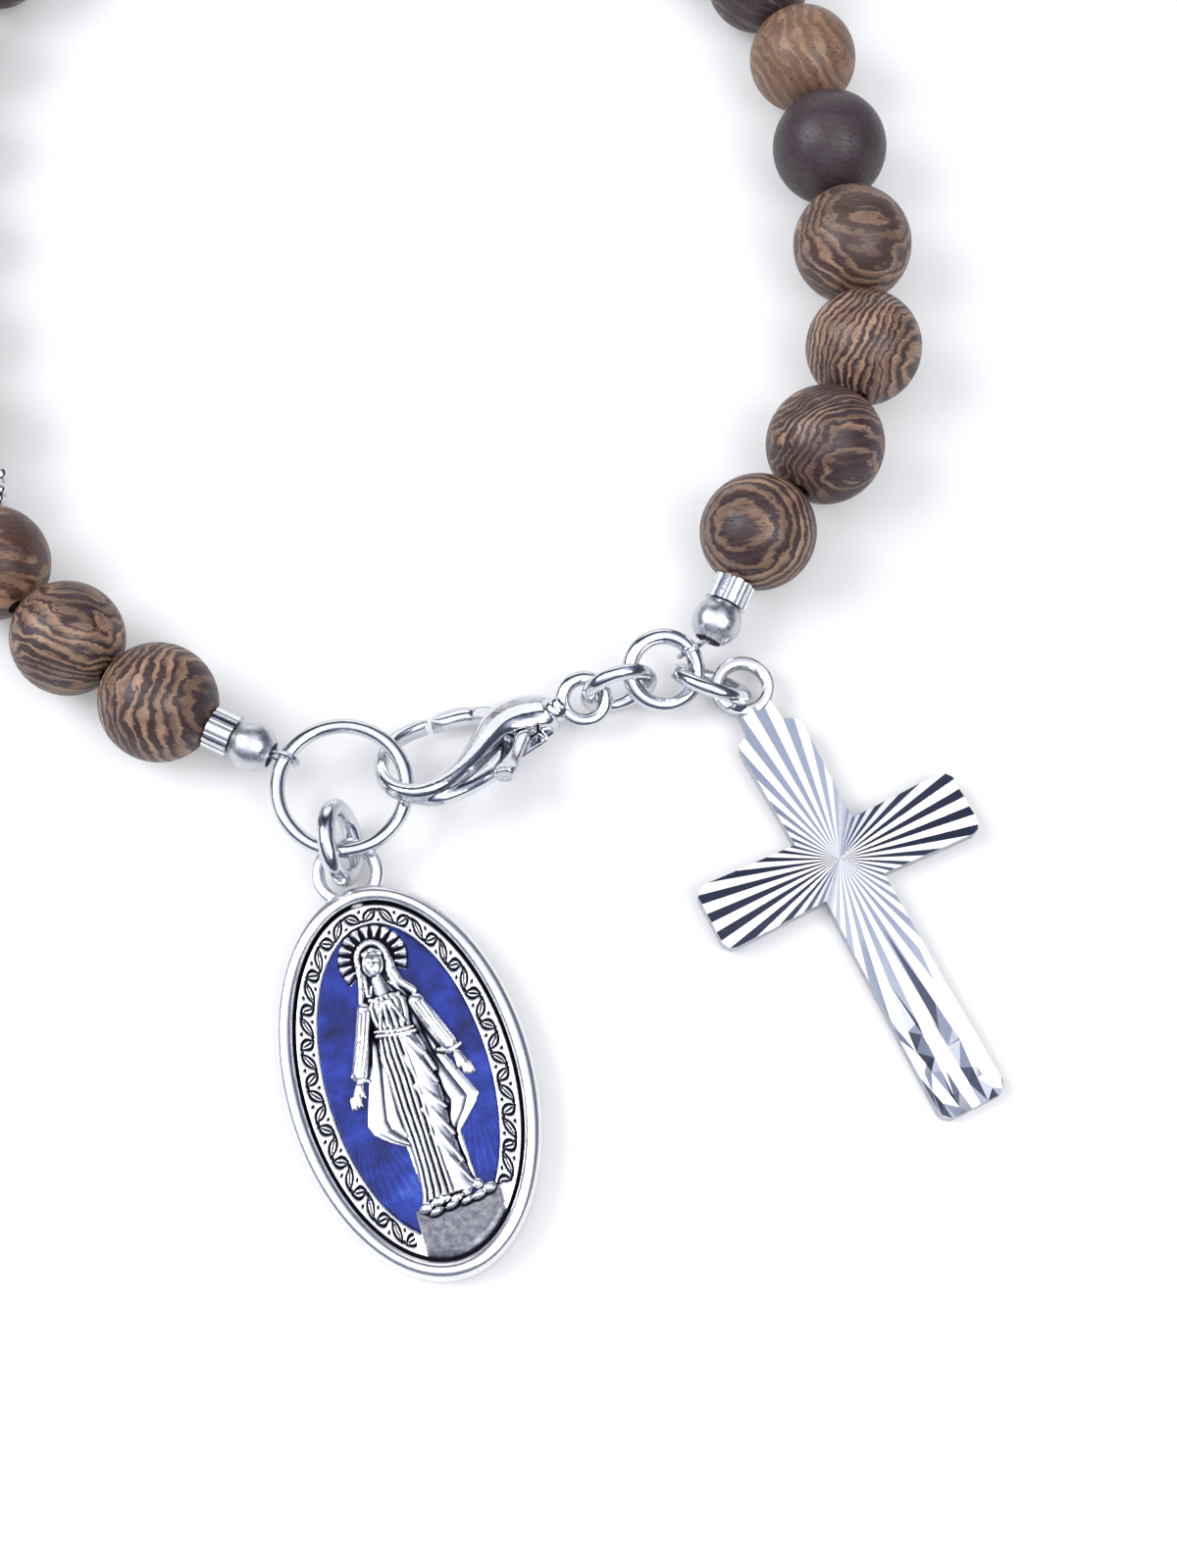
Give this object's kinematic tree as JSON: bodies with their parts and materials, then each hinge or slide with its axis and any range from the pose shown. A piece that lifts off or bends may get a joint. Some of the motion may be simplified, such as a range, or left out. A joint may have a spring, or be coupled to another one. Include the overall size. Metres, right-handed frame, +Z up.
{
  "type": "rosary bracelet",
  "caption": "Rosary bracelet of wood beads with a silver bead, a lobster clasp, an enamelled oval medal and a ray-cut cross, lying fastened on a table.",
  "frame": {"origin": "in the opening of the bead loop, near its middle, on the table the bracelet lies on", "axes": "+Z up from the table, -Y from the opening towards the clasp and the pendants"},
  "size_m": [0.0795, 0.1139, 0.0084],
  "materials": {
    "wood": "satin, banded grain",
    "silver": "polished silver plate",
    "dark_silver": "darker silver plate",
    "enamel": "glossy translucent blue enamel"
  },
  "bodies": {
    "bracelet": {"wood_bead_01": "wood", "wood_bead_02": "wood", "wood_bead_03": "wood", "wood_bead_04": "wood", "wood_bead_05": "wood", "wood_bead_06": "wood", "wood_bead_07": "wood", "wood_bead_08": "wood", "wood_bead_09": "wood", "wood_bead_10": "wood", "wood_bead_11": "wood", "wood_bead_12": "wood", "wood_bead_13": "wood", "wood_bead_14": "wood", "wood_bead_15": "wood", "wood_bead_16": "wood", "wood_bead_17": "wood", "wood_bead_18": "wood", "wood_bead_19": "wood", "wood_bead_20": "wood", "wood_bead_21": "wood", "wood_bead_22": "wood", "wood_bead_23": "wood", "silver_bead": "silver", "tube_left": "silver", "tube_right": "silver", "big_ring": "silver", "right_ring": "silver", "clasp_link": "silver", "medal_ring": "silver", "cross_ring": "silver", "clasp_body": "silver", "medal": "silver", "cross": "silver", "cover_left": "dark_silver", "cover_right": "dark_silver", "string_wire": "dark_silver", "wire_loop_left": "dark_silver", "wire_loop_right": "dark_silver", "pivot_pin": "dark_silver", "enamel": "enamel"},
    "clasp_lever": {"clasp_lever": "silver"}
  },
  "joints": [
    {"name": "lever_hinge", "type": "hinge", "parent": "bracelet", "child": "clasp_lever", "pos_m": [0.00762, -0.03401, 0.00181], "axis": [-0.0744, 0.4954, 0.8655], "range_deg": [0, 25], "stiffness_Nm_per_rad": 0.0004, "springref_deg": -22.92}
  ]
}
